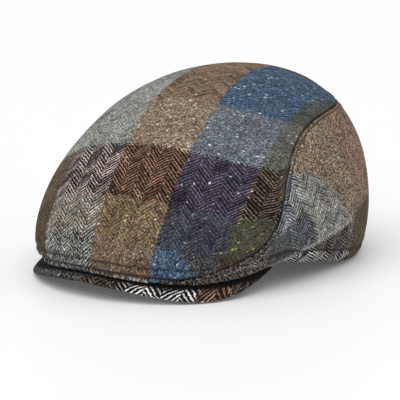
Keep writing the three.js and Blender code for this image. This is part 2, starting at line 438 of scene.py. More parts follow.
# Cloths: the dark and light yarn, the yarn of the flecks, then how strongly the twill lines show,
# how mottled the yarn is, and how many flecks there are.
CLOTHS = {
    "moss": ("umber", "khaki", "gold", 0.5, 1.0, 0.3),
    "pepper": ("graphite", "silver", "chalk", 0.7, 1.5, 0.5),
    "taupe": ("bark", "camel", "rose", 0.4, 1.6, 0.6),
    "denim": ("navy", "sky", "chalk", 0.3, 1.6, 0.6),
    "teal": ("night", "stone", "silver", 0.5, 1.9, 0.7),
    "ash": ("iron", "oat", "chalk", 0.8, 1.2, 0.3),
    "mustard": ("bark", "gold", "oat", 0.6, 1.5, 0.5),
    "slate": ("night", "dove", "mist", 0.7, 1.4, 0.6),
    "fleck": ("fir", "khaki", "straw", 0.5, 2.3, 0.7),
    "bark": ("umber", "hazel", "stone", 0.3, 0.9, 0.1),
    "bold": ("peat", "rose", "chalk", 1.3, 0.9, 0.2),
    "chestnut": ("maroon", "fawn", "oat", 1.2, 0.9, 0.3),
    "plum": ("ink", "lilac", "chalk", 1.0, 1.1, 0.6),
    "stripe": ("black", "hazel", "oat", 1.3, 0.6, 0.1),
    "silver": ("stone", "silver", "chalk", 0.6, 2.0, 0.3),
    "donegal": ("cocoa", "sand", "chalk", 0.3, 1.8, 0.6),
    "dusk": ("slate", "mist", "chalk", 0.3, 1.7, 0.6),
    "sage": ("iron", "sage", "oat", 0.3, 1.6, 0.4),
    "rust": ("cocoa", "camel", "oat", 0.9, 1.4, 0.3),
    "petrol": ("navy", "sky", "chalk", 0.4, 1.2, 0.6),
    "forest": ("fir", "stone", "mist", 0.3, 1.2, 0.2),
    "harvest": ("bark", "sand", "chalk", 0.3, 2.3, 0.3),
    "frost": ("slate", "silver", "chalk", 1.3, 1.1, 0.4),
    "mint": ("pewter", "silver", "chalk", 0.9, 1.9, 0.3),
    "steel": ("fir", "mist", "chalk", 0.9, 1.6, 0.3),
    "wedge": ("night", "mist", "chalk", 0.6, 1.1, 0.2),
    # A painted highlight: pale yarn standing in for light on the pale patch's folded lower edge.
    "painted_edge_highlight": ("stone", "chalk", "chalk", 0.2, 0.8, 0.1),
    "rosewood": ("black", "mauve", "chalk", 0.9, 1.0, 0.2),
    "rim": ("black", "chalk", "chalk", 1.6, 0.5, 0.1),
    "heather": ("black", "mauve", "rose", 0.4, 1.5, 0.4),
    "brick": ("bark", "rosy", "rose", 0.4, 2.3, 0.4),
    "olive": ("bark", "khaki", "gold", 0.4, 1.7, 0.3),
    "domino": ("black", "chalk", "chalk", 1.8, 0.3, 0.0),
    "coal": ("black", "stone", "chalk", 0.4, 1.7, 0.6),
    "tobacco": ("black", "hazel", "oat", 0.9, 1.6, 0.3),
    "russet": ("maroon", "rosy", "oat", 1.1, 0.8, 0.2),
    "fern": ("black", "camel", "gold", 0.5, 1.6, 0.3),
}

TOP_LINES_ACROSS = [-48, 0, 48, 94]
TOP_LINES_ALONG = [32, 58, 98, 147, 240]
TOP_CHECK = [
    ["moss", "pepper", "taupe", "denim", "moss"],
    ["moss", "ash", "mustard", "slate", "fleck"],
    ["bark", "bold", "chestnut", "plum", "stripe"],
    ["silver", "silver", "donegal", "dusk", "sage"],
    ["ash", "silver", "rust", "petrol", "forest"],
    ["moss", "pepper", "taupe", "slate", "bark"],
]
# A side panel's cloths: two behind the pale patch, then the patch and what lies over it in turn.
SIDE_CLOTHS = [
    "harvest", "brick", "mint", "frost", "steel", "wedge", "forest", "painted_edge_highlight", "rosewood", "rim", "olive",
    "heather",
]
# The peak's cloths from the wearer's right to left, and the lines between them.
PEAK_CLOTHS = ["coal", "tobacco", "domino", "russet", "fern"]
PEAK_LINES = [0, 29, 82, 108]
PEAK_WEAVE_SCALE = 1.25  # the peak's herringbone is this much coarser


THREAD_COLOUR = (44, 38, 34)
# The nearly black colour of painted shade: in grooves and seams, under the hem's roll, and on the peak in
# the crown's shadow.
PAINTED_SHADE_COLOUR = (8, 7, 7)


def linear(colour):
    """An sRGB colour out of 255 as the linear RGBA that shaders take."""
    share = [c / 255 for c in colour]
    return (*[c / 12.92 if c <= 0.04045 else ((c + 0.055) / 1.055) ** 2.4 for c in share], 1)


class Wire:
    """A value in a material's node tree. Arithmetic on wires makes Math nodes."""

    def __init__(self, tree, socket):
        self.tree = tree
        self.socket = socket

    def math(self, operation, *others, clamp=False):
        node = self.tree.nodes.new("ShaderNodeMath")
        node.operation = operation
        node.use_clamp = clamp
        for socket, value in zip(node.inputs, (self, *others)):
            plug(self.tree, socket, value)
        return Wire(self.tree, node.outputs[0])

    def __add__(self, other):
        return self.math("ADD", other)

    def __sub__(self, other):
        return self.math("SUBTRACT", other)

    def __mul__(self, other):
        return self.math("MULTIPLY", other)

    def __truediv__(self, other):
        return self.math("DIVIDE", other)

    def clamped(self):
        """This held between 0 and 1."""
        return self.math("ADD", 0.0, clamp=True)

    def over(self, other):
        """1 where this is greater than the other, else 0."""
        return self.math("GREATER_THAN", other)

    def under(self, other):
        return self.math("LESS_THAN", other)

    def swap(self, value, mask):
        """This where the mask is 0, the value where it is 1."""
        return self * (mask * -1.0 + 1.0) + mask * value


def plug(tree, socket, value):
    if isinstance(value, Wire):
        tree.links.new(value.socket, socket)
    else:
        socket.default_value = value


class Material:
    """One material and its nodes."""

    def __init__(self, name):
        self.material = bpy.data.materials.new(name)
        self.material.use_nodes = True
        self.tree = self.material.node_tree
        self.shader = self.tree.nodes["Principled BSDF"]

    def node(self, kind, inputs=None, **settings):
        made = self.tree.nodes.new(kind)
        for key, value in settings.items():
            setattr(made, key, value)
        for key, value in (inputs or {}).items():
            plug(self.tree, made.inputs[key], value)
        return made

    def finish(self, inputs):
        """Sets what the shader takes."""
        for key, value in inputs.items():
            plug(self.tree, self.shader.inputs[key], value)
        return self.material

    def wire(self, node, output=0):
        return Wire(self.tree, node.outputs[output])

    def layer(self, name):
        """The three numbers of a vector layer of the mesh."""
        attribute = self.node("ShaderNodeAttribute", attribute_name=name)
        parts = self.node("ShaderNodeSeparateXYZ", {0: self.wire(attribute, "Vector")})
        return [self.wire(parts, k) for k in range(3)]

    def vector(self, x, y, z=0.0):
        return self.wire(self.node("ShaderNodeCombineXYZ", {0: x, 1: y, 2: z}))

    def noise(self, place, scale, detail=1.0):
        made = self.node("ShaderNodeTexNoise", {"Vector": place, "Scale": scale, "Detail": detail})
        return self.wire(made, 0)

    def uneven(self, place, scale, detail, strength):
        """Noise that goes half the strength either way."""
        return (self.noise(place, scale, detail) - 0.5) * strength

    def speckle(self, value, x, y):
        """A random number for each whole-number place; each value gives numbers of its own."""
        return self.wire(self.node("ShaderNodeTexWhiteNoise", {"Vector": self.vector(x, y, value)}))

    def ramp(self, share, colours):
        """Colour and alpha from even steps of a share from 0 to 1."""
        made = self.node("ShaderNodeValToRGB", {0: share})
        stops = made.color_ramp
        stops.interpolation = "CONSTANT"
        while len(stops.elements) < len(colours):
            stops.elements.new(1)
        for i, colour in enumerate(colours):
            stops.elements[i].position = i / len(colours)
        for i, colour in enumerate(colours):
            stops.elements[i].color = colour
        return self.wire(made, 0), self.wire(made, 1)

    def mix(self, share, first, second, blend="MIX"):
        made = self.node("ShaderNodeMix", data_type="RGBA", blend_type=blend)
        plug(self.tree, made.inputs[0], share)
        plug(self.tree, made.inputs[6], first)
        plug(self.tree, made.inputs[7], second)
        return self.wire(made, 2)


# The weave, in millimetres of cloth: the twill's pitch up and across, a herringbone stripe's width, how
# long a thread keeps its tone, and the pitch of the hem's beads.
TWILL_RISE = 2.65
TWILL_RUN = 3.2
HERRINGBONE_WIDTH = 9.6
TONE_LENGTH = 7.0
BEAD_PITCH = 2.7
SWAY = {"across": 1.6, "along": 1.1}  # how far the threads stray slowly
JITTER = {"across": 0.9, "along": 1.3}  # and how far quickly
# How strongly each thing tells in the colour, tuned one by one.
TWILL_CONTRAST = 1.3
MOTTLE_CONTRAST = 0.8
MEAN_TWILL = 0.62
MEAN_LIGHTNESS = 0.45
THREAD_TONE = 0.3
STROKE_TONE = 0.9
FUZZ = 1.6
WARM_TINT = 0.28
GREEN_TINT = 0.22
FLECK_SCALE = 0.3
BUMP_STRENGTH = 0.8
BUMP_DEPTH = 0.00035


def tweed(name, chart, cloths, scale=1.0):
    """A tweed material. `chart` turns thread-stepped cloth coordinates into a cloth's number."""
    cloth = Material(name)
    u, v, third = cloth.layer("cloth")
    place = cloth.vector(u, v)
    sway = cloth.noise(place, 0.16, 2.0) - 0.5
    jitter = cloth.noise(cloth.vector(v, u, 3.0), 0.55, 1.0) - 0.5
    u = (u + sway * SWAY["across"] + jitter * JITTER["across"]) / scale
    v = (v + jitter * JITTER["along"] - sway * SWAY["along"]) / scale

    # A 2/2 twill whose lines turn back at every stripe.
    warp_width = TWILL_RUN / 4
    weft_width = TWILL_RISE / 4
    warp = (u / warp_width).math("FLOOR")
    weft = (v / weft_width).math("FLOOR")
    stripe = (u / HERRINGBONE_WIDTH).math("FLOOR")
    turned = (stripe / 2).math("FRACT") * 2
    folded = (warp + 0.5).math("PINGPONG", HERRINGBONE_WIDTH / warp_width).math("FLOOR") + turned * 2
    step = (folded + weft) / 4
    over = step.math("FRACT").under(0.5)
    phase = u.math("PINGPONG", HERRINGBONE_WIDTH) / TWILL_RUN + v / TWILL_RISE + turned * 0.5
    stroke = cloth.speckle(3.0, stripe, (phase + 0.5).math("FLOOR"))
    breadth = cloth.uneven(place, 0.5, 1.0, 0.5) + (stroke - 0.5) * 0.1
    line = ((phase.math("PINGPONG", 0.5) + breadth - 0.33) * 4.5 + 0.5).clamped()
    twill = over * 0.3 + line * 0.7
    # Each float, the stretch where one thread lies over two others, has a shade of its own.
    thread = weft + (warp - weft) * over
    float_shade = cloth.speckle(over * 7.0 + stripe, thread, (step * 2).math("FLOOR"))

    # The colours of crossing threads run into one another for a few threads at each line of the check.
    blend = (over - 0.5) * 1.5
    number = chart(warp * warp_width * scale + blend, weft * weft_width * scale + blend, third)
    share = (number + 0.5) / len(cloths)
    picks = [CLOTHS[c] for c in cloths]
    (dark, twill_strength), (light, mottle_strength), (fleck, fleck_share) = [
        cloth.ramp(share, [(*linear(YARNS[pick[k]])[:3], pick[k + 3]) for pick in picks]) for k in range(3)
    ]

    fine = cloth.noise(place, 1.0, 2.0)
    mottle = ((fine - 0.5) * 3.0 + (float_shade - 0.5) * 0.9 + 0.48).clamped()
    from_twill = (twill - MEAN_TWILL) * twill_strength * TWILL_CONTRAST
    lightness = from_twill + (mottle - 0.5) * mottle_strength * MOTTLE_CONTRAST + MEAN_LIGHTNESS
    colour = cloth.mix(lightness.clamped(), dark, light)

    warp_tone = cloth.speckle(1.0, warp, (v / TONE_LENGTH).math("FLOOR"))
    weft_tone = cloth.speckle(2.0, (u / TONE_LENGTH).math("FLOOR"), weft)
    tone = (warp_tone + weft_tone - 1.0) * THREAD_TONE + (stroke - 0.5) * twill_strength * STROKE_TONE
    broad = cloth.uneven(place, 0.04, 2.0, 0.6) + cloth.uneven(place, 0.17, 1.0, 0.4)
    fuzz = cloth.uneven(cloth.vector(u, v, 8.0), 0.7, 2.0, FUZZ)
    value = tone + broad + fuzz + 1.0

    # Light flecks and dark slubs are spots in the cells of a Voronoi pattern, a few cells of each.
    fleck_place = cloth.vector(u * 0.8 + fine, v * 1.3 + fuzz)
    cells = cloth.node("ShaderNodeTexVoronoi", {"Vector": fleck_place, "Scale": FLECK_SCALE})
    near = cloth.wire(cells, "Distance")
    chance = cloth.node("ShaderNodeSeparateColor", {0: cloth.wire(cells, "Color")})
    shown = cloth.wire(chance, 0).under(fleck_share) * near.under(cloth.wire(chance, 1) * 0.2 + 0.05)
    slub = cloth.wire(chance, 2).under(fleck_share * 0.8) * near.under(0.22) * (shown * -1.0 + 1.0)
    colour = cloth.mix(slub * 0.8, colour, dark)
    colour = cloth.mix(shown, colour, fleck)
    warm = cloth.uneven(cloth.vector(u, v, 15.0), 0.13, 2.0, WARM_TINT)
    leafy = cloth.uneven(cloth.vector(u, v, 25.0), 0.2, 2.0, GREEN_TINT)
    tints = {0: value + warm, 1: value + leafy, 2: value - warm}
    colour = cloth.mix(1.0, colour, cloth.wire(cloth.node("ShaderNodeCombineColor", tints)), "MULTIPLY")

    # The hem's pale beads lie on darker cloth. Painted shade, nearly black, darkens every groove and seam,
    # the underside of the hem's roll and the peak in the crown's shadow.
    # The painted shade layer also carries the bead band and the run along the hem.
    painted_shade, bead, run = cloth.layer("painted_shade")
    spots = (cloth.noise(place, 0.42, 1.0) - 0.55) * 10.0 + (run / BEAD_PITCH).math("PINGPONG", 0.5) * 1.2
    colour = cloth.mix(bead * 0.75, colour, dark)
    colour = cloth.mix(bead * spots.clamped(), colour, linear(YARNS["chalk"]))
    colour = cloth.mix(painted_shade, colour, linear(PAINTED_SHADE_COLOUR))

    # Threads stand proud of the ground, and the yarn is hairy.
    warp_ridge = (u / warp_width).math("PINGPONG", 0.5) * 2
    weft_ridge = (v / weft_width).math("PINGPONG", 0.5) * 2
    ridge = weft_ridge + (warp_ridge - weft_ridge) * over
    height = ridge * 0.5 + over * 0.35 + fine * 0.6 + shown * 0.6
    bump = {"Height": height, "Strength": BUMP_STRENGTH, "Distance": BUMP_DEPTH}
    return cloth.finish({
        "Normal": cloth.wire(cloth.node("ShaderNodeBump", bump)),
        "Base Color": colour,
        "Roughness": fine * 0.2 + 0.8,
        "Specular IOR Level": 0.2,
    })


def lines_passed(place, lines):
    return sum((place.over(line) for line in lines[1:]), place.over(lines[0]))


def top_chart(u, v, _):
    """The number of the top panel's cloth at a place in the check."""
    column = lines_passed(u, TOP_LINES_ACROSS)
    row = lines_passed(v, TOP_LINES_ALONG)
    number = row * len(TOP_CHECK[0]) + column
    # Part of the denim patch is teal, the last of the cloths.
    teal = (u + v * 1.6).over(116) * u.over(48) * u.under(96) * v.under(32)
    return number.swap(len(TOP_CHECK) * len(TOP_CHECK[0]), teal)


def side_chart(u, v, behind):
    """The number of a side panel's cloth. Places are in millimetres from the pale patch's lower corner,
    along its lower edge and up, and `behind` is above 0 past its back edge."""
    cloth = SIDE_CLOTHS.index
    number = u.over(10)
    inside = behind.under(0)
    number = number.swap(cloth("mint"), inside)
    number = number.swap(cloth("frost"), inside * (v * 0.55 - u).over(79.5) * v.over(27))
    number = number.swap(cloth("steel"), inside * u.under(-56) * v.under(27))
    wedge = inside * v.under(28) * (u + v * 0.25).under(-47.7) * (u + v * 0.5).over(-61.5)
    number = number.swap(cloth("wedge"), wedge)
    number = number.swap(cloth("forest"), inside * u.under(-75.6) * v.under(24))
    # A pale band along the patch's lower edge is a painted highlight on its folded edge.
    number = number.swap(cloth("painted_edge_highlight"), inside * v.under(3.2))
    below = v.under(0.6)
    number = number.swap(cloth("rosewood"), below)
    number = number.swap(cloth("rim"), below * (v + u * 0.4).under(-24.4))
    number = number.swap(cloth("olive"), v.under(6) * u.over(2))
    return number.swap(cloth("heather"), u.under(-98))


def peak_chart(u, _, __):
    """The number of the peak's cloth, counted from the wearer's right."""
    return lines_passed(u, PEAK_LINES)


# ---- Pieces ----

VISUAL_GAP = 0.15
HEM_ANGLES = np.linspace(-180, 180, 721)
HEM_LINE = free_point(HEM_ANGLES, 0)

# Two sewn grooves run round the front hem, and behind them one round the rim, higher at the back.
FRONT_GROOVES = (6.8, 12.8)
RIM_GROOVE = 12.0
RIM_GROOVE_RISE = 3.0
TOPSTITCH = 2.8  # how far the stitches lie below the side seams
ROLL_SAG = {"depth": 1.5, "place": 3.6, "width": 2.6}  # the rolled hem's sag over the peak
EDGE_BLEND = 12  # how far in from an edge the cloth's unevenness is at its full height

# The low relief across a seam, hem or groove: each swell's place, height and width.
TOP_SEAM_SWELLS = [(4.5, 0.35, 2.6), (0, -0.8, 1.5)]
HEM_SWELLS = [(3.4, 0.7, 2.0), (9.8, 0.6, 2.0), (16, 0.35, 2.6)]
SIDE_SEAM_SWELLS = [(0, -0.8, 1.3), (1.4, 0.3, 0.8), (5, 0.3, 2.4)]
RIM_SWELLS = [(-3.5, 0.5, 2.2), (0, -0.9, 1.1), (3, 0.3, 2.0)]

# Angles from straight ahead where a feature begins to change, and over how many degrees it does.
FRONT_FADE = (42, 16)
RIM_START = (62, 14)
RIM_RISE_START = (110, 50)
BACK_SEAM_START = 150
BACK_SEAM_ANGLE = 179.95  # a side panel's last column, just short of the middle

STITCH_PITCH = 3.4
STITCH_LENGTH = 2.5
STITCH_RADIUS = 0.32
# A stitch's rings: how far along it, how thick, and how high above the cloth, as shares.
STITCH_RINGS = [
    (0, 0.4, -0.9), (0.12, 0.85, -0.1), (0.35, 1, 0.35), (0.65, 1, 0.35), (0.88, 0.85, -0.1), (1, 0.4, -0.9),
]
STITCH_SIDES = 6
stitch_lines = []  # rows of stitches still to sew, each as its points and the directions out of the cloth


def edge_fall(distance, radius):
    """How far a rounded edge lies below the face, at a distance in from the edge."""
    return radius * (1 - np.sqrt(1 - np.clip((radius - distance) / radius, 0, 1) ** 2))


def bell(offset, width):
    return np.exp(-((offset / width) ** 2))


def swelling(distance, swells):
    return sum(height * bell(distance - place, width) for place, height, width in swells)


def fade(angles, change):
    """From 0 to 1 where a change begins and over how many degrees."""
    start, over = change
    return smooth_step((angles - start) / over)


def sag(distance):
    return ROLL_SAG["depth"] * bell(distance - ROLL_SAG["place"], ROLL_SAG["width"])


def painted_shade_layer(painted_shade):
    """The mesh layer of a piece that has painted shade and no beads."""
    return np.stack([painted_shade, 0 * painted_shade, 0 * painted_shade], -1)


def undulation(points):
    """The soft unevenness of cloth that has been worn and stored."""
    x, y, z = np.moveaxis(points, -1, 0)
    slow = np.sin(x / 21 + 1.4 * np.sin(y / 33 + 0.6)) * np.sin(y / 27 + z / 19 + 0.9)
    quick = np.sin(x / 9.3 - z / 11 + 2.1) * np.sin(y / 10.5 + x / 17)
    return 0.45 * slow + 0.12 * quick


def half_gap_rise(angle, rise):
    """Half the gap at a seam, as a share of the rise."""
    step = 0.01
    turn = 0.5
    rising = free_point(angle, rise + step) - free_point(angle, rise)
    speed = np.linalg.norm(rising, axis=-1) / step
    before = free_point(angle - turn, seam_rise(angle - turn))
    along = unit(free_point(angle + turn, seam_rise(angle + turn)) - before)
    across = np.sqrt(np.maximum(1 - (along * unit(rising)).sum(-1) ** 2, 0.01))
    return np.where(rise > 0, VISUAL_GAP / 2 / (speed * across), 0)


def wall(angles, rises, depth):
    """Wall points at a depth below the outer face, pressed flat by the ground."""
    depth = np.broadcast_to(depth, np.broadcast(angles, rises).shape)
    points = free_point(angles, rises) - outward(angles, rises) * depth[..., None]
    points[..., 2] = np.maximum(points[..., 2], np.maximum(depth, 0))
    return points


def stitch_ripple(groove, along):
    """Small puckers beside a row of stitches."""
    return 0.16 * bell(groove, 2.4) * np.sin(along * 2 * np.pi / STITCH_PITCH)


def trace(points, normals, distance, value):
    """The line on a grid where a distance, which grows from the first row, reaches a value. Returns
    its points and the directions out of the cloth."""
    column = np.arange(distance.shape[1])
    k = np.maximum((distance > value).argmax(0), 1)
    low, high = distance[k - 1, column], distance[k, column]
    share = np.clip((value - low) / np.maximum(high - low, 1e-6), 0, 1)[:, None]
    line = points[k - 1, column] * (1 - share) + points[k, column] * share
    return line, unit(normals[k - 1, column] * (1 - share) + normals[k, column] * share)


def stitch_rings(line, normals):
    """Vertices of the stitches along a line: stitch, ring, corner."""
    length = running_length(line)
    count = int(length[-1] / STITCH_PITCH)
    rings = np.array(STITCH_RINGS, float)
    starts = np.arange(count) * length[-1] / count + (STITCH_PITCH - STITCH_LENGTH) / 2
    at = starts[:, None] + rings[:, 0] * STITCH_LENGTH

    def along(rows, place):
        return np.stack([np.interp(place, length, rows[:, axis]) for axis in range(3)], -1)

    out = unit(along(normals, at))
    ahead = unit(along(line, at + 0.3) - along(line, at - 0.3))
    across = unit(np.cross(out, ahead))
    centre = along(line, at) + out * (rings[:, 2] * STITCH_RADIUS)[:, None]
    turn = np.arange(STITCH_SIDES) * 2 * np.pi / STITCH_SIDES
    spoke = out[:, :, None] * np.cos(turn)[:, None] + across[:, :, None] * np.sin(turn)[:, None]
    return centre[:, :, None] + spoke * (rings[:, 1] * STITCH_RADIUS)[:, None, None]


def stitching(material):
    """Every row of stitches as one piece."""
    points = np.concatenate([stitch_rings(*line) for line in stitch_lines])
    faces = []
    rings = len(STITCH_RINGS)
    for stitch in range(len(points)):
        first = stitch * rings * STITCH_SIDES
        last = first + (rings - 1) * STITCH_SIDES
        faces += grid_faces(rings, STITCH_SIDES, True, flip=True, first=first)
        faces.append(tuple(range(first, first + STITCH_SIDES)))
        faces.append(tuple(range(last + STITCH_SIDES - 1, last - 1, -1)))
    mesh_object("stitching", points, faces, {}, material, None)


def along_line(points, line):
    """How far along a polyline each point's nearest vertex lies."""
    flat = points.reshape(-1, 3)
    nearest = np.empty(len(flat), int)
    for at in range(0, len(flat), CHUNK):
        nearest[at:at + CHUNK] = ((flat[at:at + CHUNK, None] - line) ** 2).sum(2).argmin(1)
    return running_length(line)[nearest].reshape(points.shape[:-1])


# How the top panel's check lies on its unrolled sheet, in millimetres of cloth. Places on the sheet are
# in hundreds of millimetres, to the wearer's left and back from the middle of the hem.
CHECK_START = (-10, 2)  # the check's numbers across and along at the middle of the hem
# The cloth in a hundred millimetres of sheet: at the hem, the most that there is, and where.
DRAWN_ACROSS = (90, 114, 1.45)
DRAWN_ALONG = (91.5, 101.5, 1.85)
LEAN = 60  # how far its lines lean to the left on their way back to the seam
LEAN_END = 3
LEAN_POWER = 1.8
SIDE_PULL = {"hem": 12, "fade": 9, "ends": 10}  # how its lines shift towards the sides
ROW_SAG = {"tilt": 13, "sides": 14.5, "ends": 11.5}  # how its rows fall away towards the sides
FLAT_COLUMNS = 64
FLAT_ROWS = 18
FLAT_BIAS = 1.1
FLAT_TOP = 0.995
TOP_ROUNDS = 60
SIDE_ROUNDS = 100


def top_sheet():
    """The top panel unrolled onto the plane: a grid of places by angle and share of the rise."""
    angles = bearing(np.arange(FLAT_COLUMNS) * 360 / FLAT_COLUMNS)
    shares = (np.arange(FLAT_ROWS) / (FLAT_ROWS - 1)) ** FLAT_BIAS
    seam = seam_rise(angles)
    rises = seam + (1 - seam) * shares[:, None]
    rises[-1] = FLAT_TOP
    points = wall(np.broadcast_to(angles, rises.shape), rises, 0)
    spread_plan = points[..., :2].reshape(-1, 2) * 1.2
    triangles = grid_triangles(FLAT_ROWS, FLAT_COLUMNS, True)
    flat = flatten(points.reshape(-1, 3), triangles, spread_plan, TOP_ROUNDS)
    flat = flat.reshape(FLAT_ROWS, FLAT_COLUMNS, 2)
    flat = flat - flat[0, 0]
    back = unit(flat[-1, 0])
    return np.stack([flat @ [back[1], -back[0]], flat @ back], -1)


def drawn(back, hem, most, place):
    """The cloth in a hundred millimetres of sheet, at a place on the way back."""
    return most - (most - hem) * (back / place - 1) ** 2


def top_weave(angles, shares):
    """The top panel's cloth coordinates on a grid of shares and angles."""
    rows = (FLAT_ROWS - 1) * shares ** (1 / FLAT_BIAS)
    columns = np.mod(angles, 360) / 360 * FLAT_COLUMNS
    left, back = np.moveaxis(grid_lookup(top_sheet(), rows, columns, True) / 100, -1, 0)
    lean = LEAN * (np.maximum(back, 0) / LEAN_END) ** LEAN_POWER
    pull = (SIDE_PULL["hem"] - SIDE_PULL["fade"] * back) * left**2 - SIDE_PULL["ends"] * left**3
    fall = ROW_SAG["tilt"] * left * back + ROW_SAG["sides"] * left**2 * back + ROW_SAG["ends"] * left**3
    across = CHECK_START[0] + drawn(back, *DRAWN_ACROSS) * left + lean + pull
    along = CHECK_START[1] + drawn(back, *DRAWN_ALONG) * back - fall
    return np.stack([across, along, 0 * left], -1)


def top_panel(material):
    """The top panel: a dome round the summit, with its cloth's inner face."""
    half_columns = 200
    rows = 84
    lining_rows = 26
    left = column_angles(0, 180, half_columns)
    angles = bearing(np.concatenate([left, 360 - left[-2:0:-1]]))
    seam = seam_rise(angles)
    start = seam + half_gap_rise(angles, seam)
    seam_line = free_point(angles, seam)
    seam_line = np.concatenate([seam_line, seam_line[:1]])

    x = np.arange(rows) / rows
    shares = 0.2 * x + 0.8 * x**2.2
    rises = start + (1 - start) * shares[:, None]
    smooth = free_point(angles, rises)
    edge = distance_to(smooth, seam_line)
    hem = distance_to(smooth, HEM_LINE)
    hem_end = SEAM[0][0]
    on_seam = smooth_step((np.abs(angles) - hem_end) / 12)
    relief = undulation(smooth) * smooth_step(edge / EDGE_BLEND) - edge_fall(edge, CLOTH / 2)
    relief += on_seam * swelling(edge, TOP_SEAM_SWELLS)
    front = 1 - fade(np.abs(angles), FRONT_FADE)
    along = along_line(smooth, HEM_LINE)
    for groove in FRONT_GROOVES:
        relief += front * (stitch_ripple(hem - groove, along) - 1.1 * bell(hem - groove, 0.9))
    relief += front * swelling(hem, HEM_SWELLS)
    outer = wall(angles, rises, -relief)
    outer[0] = wall(angles, rises[0], CLOTH / 2)
    outer[..., 2] -= front * sag(hem)
    hemmed = np.abs(angles) < hem_end + 1
    order = np.argsort(angles[hemmed])
    normals = outward(angles, rises)
    for groove in FRONT_GROOVES:
        line, out = trace(outer[:, hemmed], normals[:, hemmed], hem[:, hemmed], groove)
        stitch_lines.append((line[order], out[order]))
    # Painted shade: darkest in the seam, in the two grooves and under the hem's roll, where shadow falls.
    painted_shade = np.maximum.reduce([
        on_seam * 0.75 * bell(edge, 1.0),
        front * 0.8 * bell(hem - FRONT_GROOVES[0], 1.0),
        front * 0.55 * bell(hem - FRONT_GROOVES[1], 0.8),
        front * (1 - smooth_step((hem - 1.8) / 1.6)),
    ])
    # On the wearer's right the row of pale beads is wider and lies higher.
    turn = smooth_step((-16 - angles) / 12)
    bead = front * np.minimum(1, 1.5 * bell(hem - 4.2 - 2.6 * turn, 1.2 + 4.6 * turn))

    lining_shares = (np.arange(lining_rows) / lining_rows) ** 1.2
    lining_rises = start + (1 - start) * lining_shares[:, None]
    lining_edge = distance_to(free_point(angles, lining_rises), seam_line)
    inner = wall(angles, lining_rises, CLOTH - edge_fall(lining_edge, CLOTH / 2))
    pole = np.array([0, SUMMIT["y"], SUMMIT["z"]])
    points = np.concatenate([outer.reshape(-1, 3), inner[1:].reshape(-1, 3), [pole], [pole - [0, 0, CLOTH]]])

    weave = top_weave(angles, shares)
    lining_weave = top_weave(angles, lining_shares)
    middle = weave[-1].mean(0)
    weave = np.concatenate([weave.reshape(-1, 3), lining_weave[1:].reshape(-1, 3), [middle, middle]])
    shade = np.zeros((len(points), 3))
    shade[:painted_shade.size] = np.stack([painted_shade, bead, along], -1).reshape(-1, 3)
    faces = dome_faces(rows, len(angles), lining_rows)
    layers = {"cloth": weave, "painted_shade": shade}
    mesh_object("crown_top_tweed", points, faces, layers, material, "crown_top")


SIDE_FLAT_COLUMNS = 60
SIDE_FLAT_ROWS = 14
# Where the pale patch's lower corner lies on the unrolled side panel, and how its threads are turned.
PATCH_CORNER = (184, 51)
PATCH_TURN = math.radians(12.6)


def side_sheet():
    """The left side panel unrolled onto the plane: a grid of places by share of the rise and angle."""
    angles = np.linspace(SIDE_TIP_ANGLE, 180, SIDE_FLAT_COLUMNS)
    shares = np.linspace(0, 1, SIDE_FLAT_ROWS)
    rises = np.maximum(seam_rise(angles), 0.02) * shares[:, None]
    points = wall(angles, rises, 0)
    middle = points[SIDE_FLAT_ROWS // 2]
    around = running_length(middle)
    height = np.cumsum(np.linalg.norm(np.diff(points, axis=0), axis=2), axis=0)
    height = np.concatenate([0 * height[:1], height]) + points[0, :, 2]
    start = np.stack([np.broadcast_to(around, height.shape), height], -1).reshape(-1, 2)
    triangles = grid_triangles(SIDE_FLAT_ROWS, SIDE_FLAT_COLUMNS, False)
    flat = flatten(points.reshape(-1, 3), triangles, start, SIDE_ROUNDS)
    return flat.reshape(SIDE_FLAT_ROWS, SIDE_FLAT_COLUMNS, 2)


def side_weave(angles, shares):
    """A side panel's cloth coordinates, and how far a place lies behind the pale patch's back edge."""
    columns = (angles - SIDE_TIP_ANGLE) / (180 - SIDE_TIP_ANGLE) * (SIDE_FLAT_COLUMNS - 1)
    flat = grid_lookup(side_sheet(), shares * (SIDE_FLAT_ROWS - 1), columns, False) - PATCH_CORNER
    x, y = flat[..., 0], flat[..., 1]
    u = x * math.cos(PATCH_TURN) + y * math.sin(PATCH_TURN)
    v = y * math.cos(PATCH_TURN) - x * math.sin(PATCH_TURN)
    behind = u + 3 + 0.66 * (v - 2) + 0.125 * np.maximum(0, v - 46) ** 2
    return np.stack([u, v, behind], -1)


